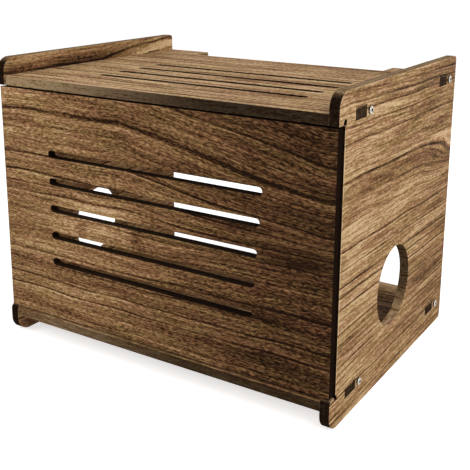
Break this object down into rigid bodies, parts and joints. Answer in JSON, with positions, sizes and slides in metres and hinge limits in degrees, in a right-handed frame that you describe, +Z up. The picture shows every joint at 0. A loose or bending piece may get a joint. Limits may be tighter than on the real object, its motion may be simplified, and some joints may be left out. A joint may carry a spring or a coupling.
{
  "type": "router storage box",
  "caption": "Open-backed box of thin boards with a rimmed slotted top, a round cable hole in each side and a slotted front panel that pulls off its magnets.",
  "frame": {"origin": "centre of the footprint, on the surface that the box stands on", "axes": "+Z up, +X to the right seen from the front, the front panel faces -Y"},
  "size_m": [0.3234, 0.24, 0.25],
  "materials": {
    "grain_board": "satin dark walnut grain with charred cut edges",
    "screw_steel": "bright zinc plating",
    "magnet_plating": "nickel plating"
  },
  "bodies": {
    "case": {"left_side_panel": "grain_board", "right_side_panel": "grain_board", "top_panel": "grain_board", "bottom_panel": "grain_board", "screw_top_left_front": "screw_steel", "screw_top_left_rear": "screw_steel", "screw_top_right_front": "screw_steel", "screw_top_right_rear": "screw_steel", "screw_bottom_left_front": "screw_steel", "screw_bottom_left_rear": "screw_steel", "screw_bottom_right_front": "screw_steel", "screw_bottom_right_rear": "screw_steel", "case_magnet_upper_left": "magnet_plating", "case_magnet_upper_right": "magnet_plating", "case_magnet_lower_left": "magnet_plating", "case_magnet_lower_right": "magnet_plating"},
    "front": {"front_panel": "grain_board", "front_magnet_upper_left": "magnet_plating", "front_magnet_upper_right": "magnet_plating", "front_magnet_lower_left": "magnet_plating", "front_magnet_lower_right": "magnet_plating"}
  },
  "joints": [
    {"name": "front_panel_pull", "type": "slide", "parent": "case", "child": "front", "axis": [0, -1, 0], "range_m": [0, 0.06]}
  ]
}
